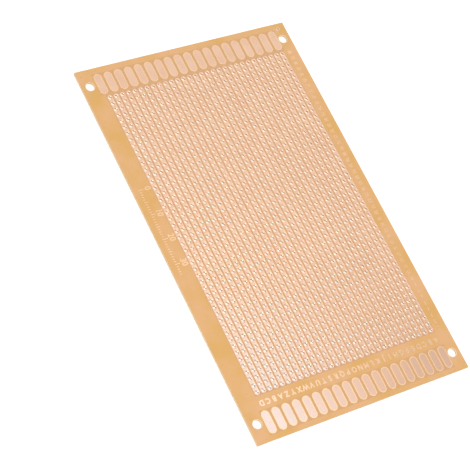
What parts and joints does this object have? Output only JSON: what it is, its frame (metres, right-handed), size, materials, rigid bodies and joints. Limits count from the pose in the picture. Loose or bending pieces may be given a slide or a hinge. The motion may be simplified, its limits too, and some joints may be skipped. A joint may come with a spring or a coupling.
{
  "type": "prototype board",
  "caption": "Flat punched prototype board: a field of component holes joined by long copper strips, a row of oblong copper contacts at each end and a mounting hole in each corner.",
  "frame": {"origin": "middle of the board's outline, on the bare face that it lies on", "axes": "+Z out of the copper face, +Y along the strips towards the end with the tooling hole, +X across the strips"},
  "size_m": [0.089, 0.1494, 0.0012],
  "materials": {
    "laminate": "yellow-brown phenolic paper laminate, satin, with sheared edges",
    "copper": "bare copper foil under a clear flux coat, satin"
  },
  "bodies": {
    "root": {"laminate": "laminate", "far_contacts": "copper", "near_contacts": "copper", "strip_1": "copper", "strip_2": "copper", "strip_3": "copper", "strip_4": "copper", "strip_5": "copper", "strip_6": "copper", "strip_7": "copper", "strip_8": "copper", "strip_9": "copper", "strip_10": "copper", "strip_11": "copper", "strip_12": "copper", "strip_13": "copper", "strip_14": "copper", "strip_15": "copper", "strip_16": "copper", "strip_17": "copper", "strip_18": "copper", "strip_19": "copper", "strip_20": "copper", "strip_21": "copper", "strip_22": "copper", "strip_23": "copper", "strip_24": "copper", "strip_25": "copper", "strip_26": "copper", "strip_27": "copper", "strip_28": "copper", "strip_29": "copper", "strip_30": "copper"}
  },
  "joints": []
}
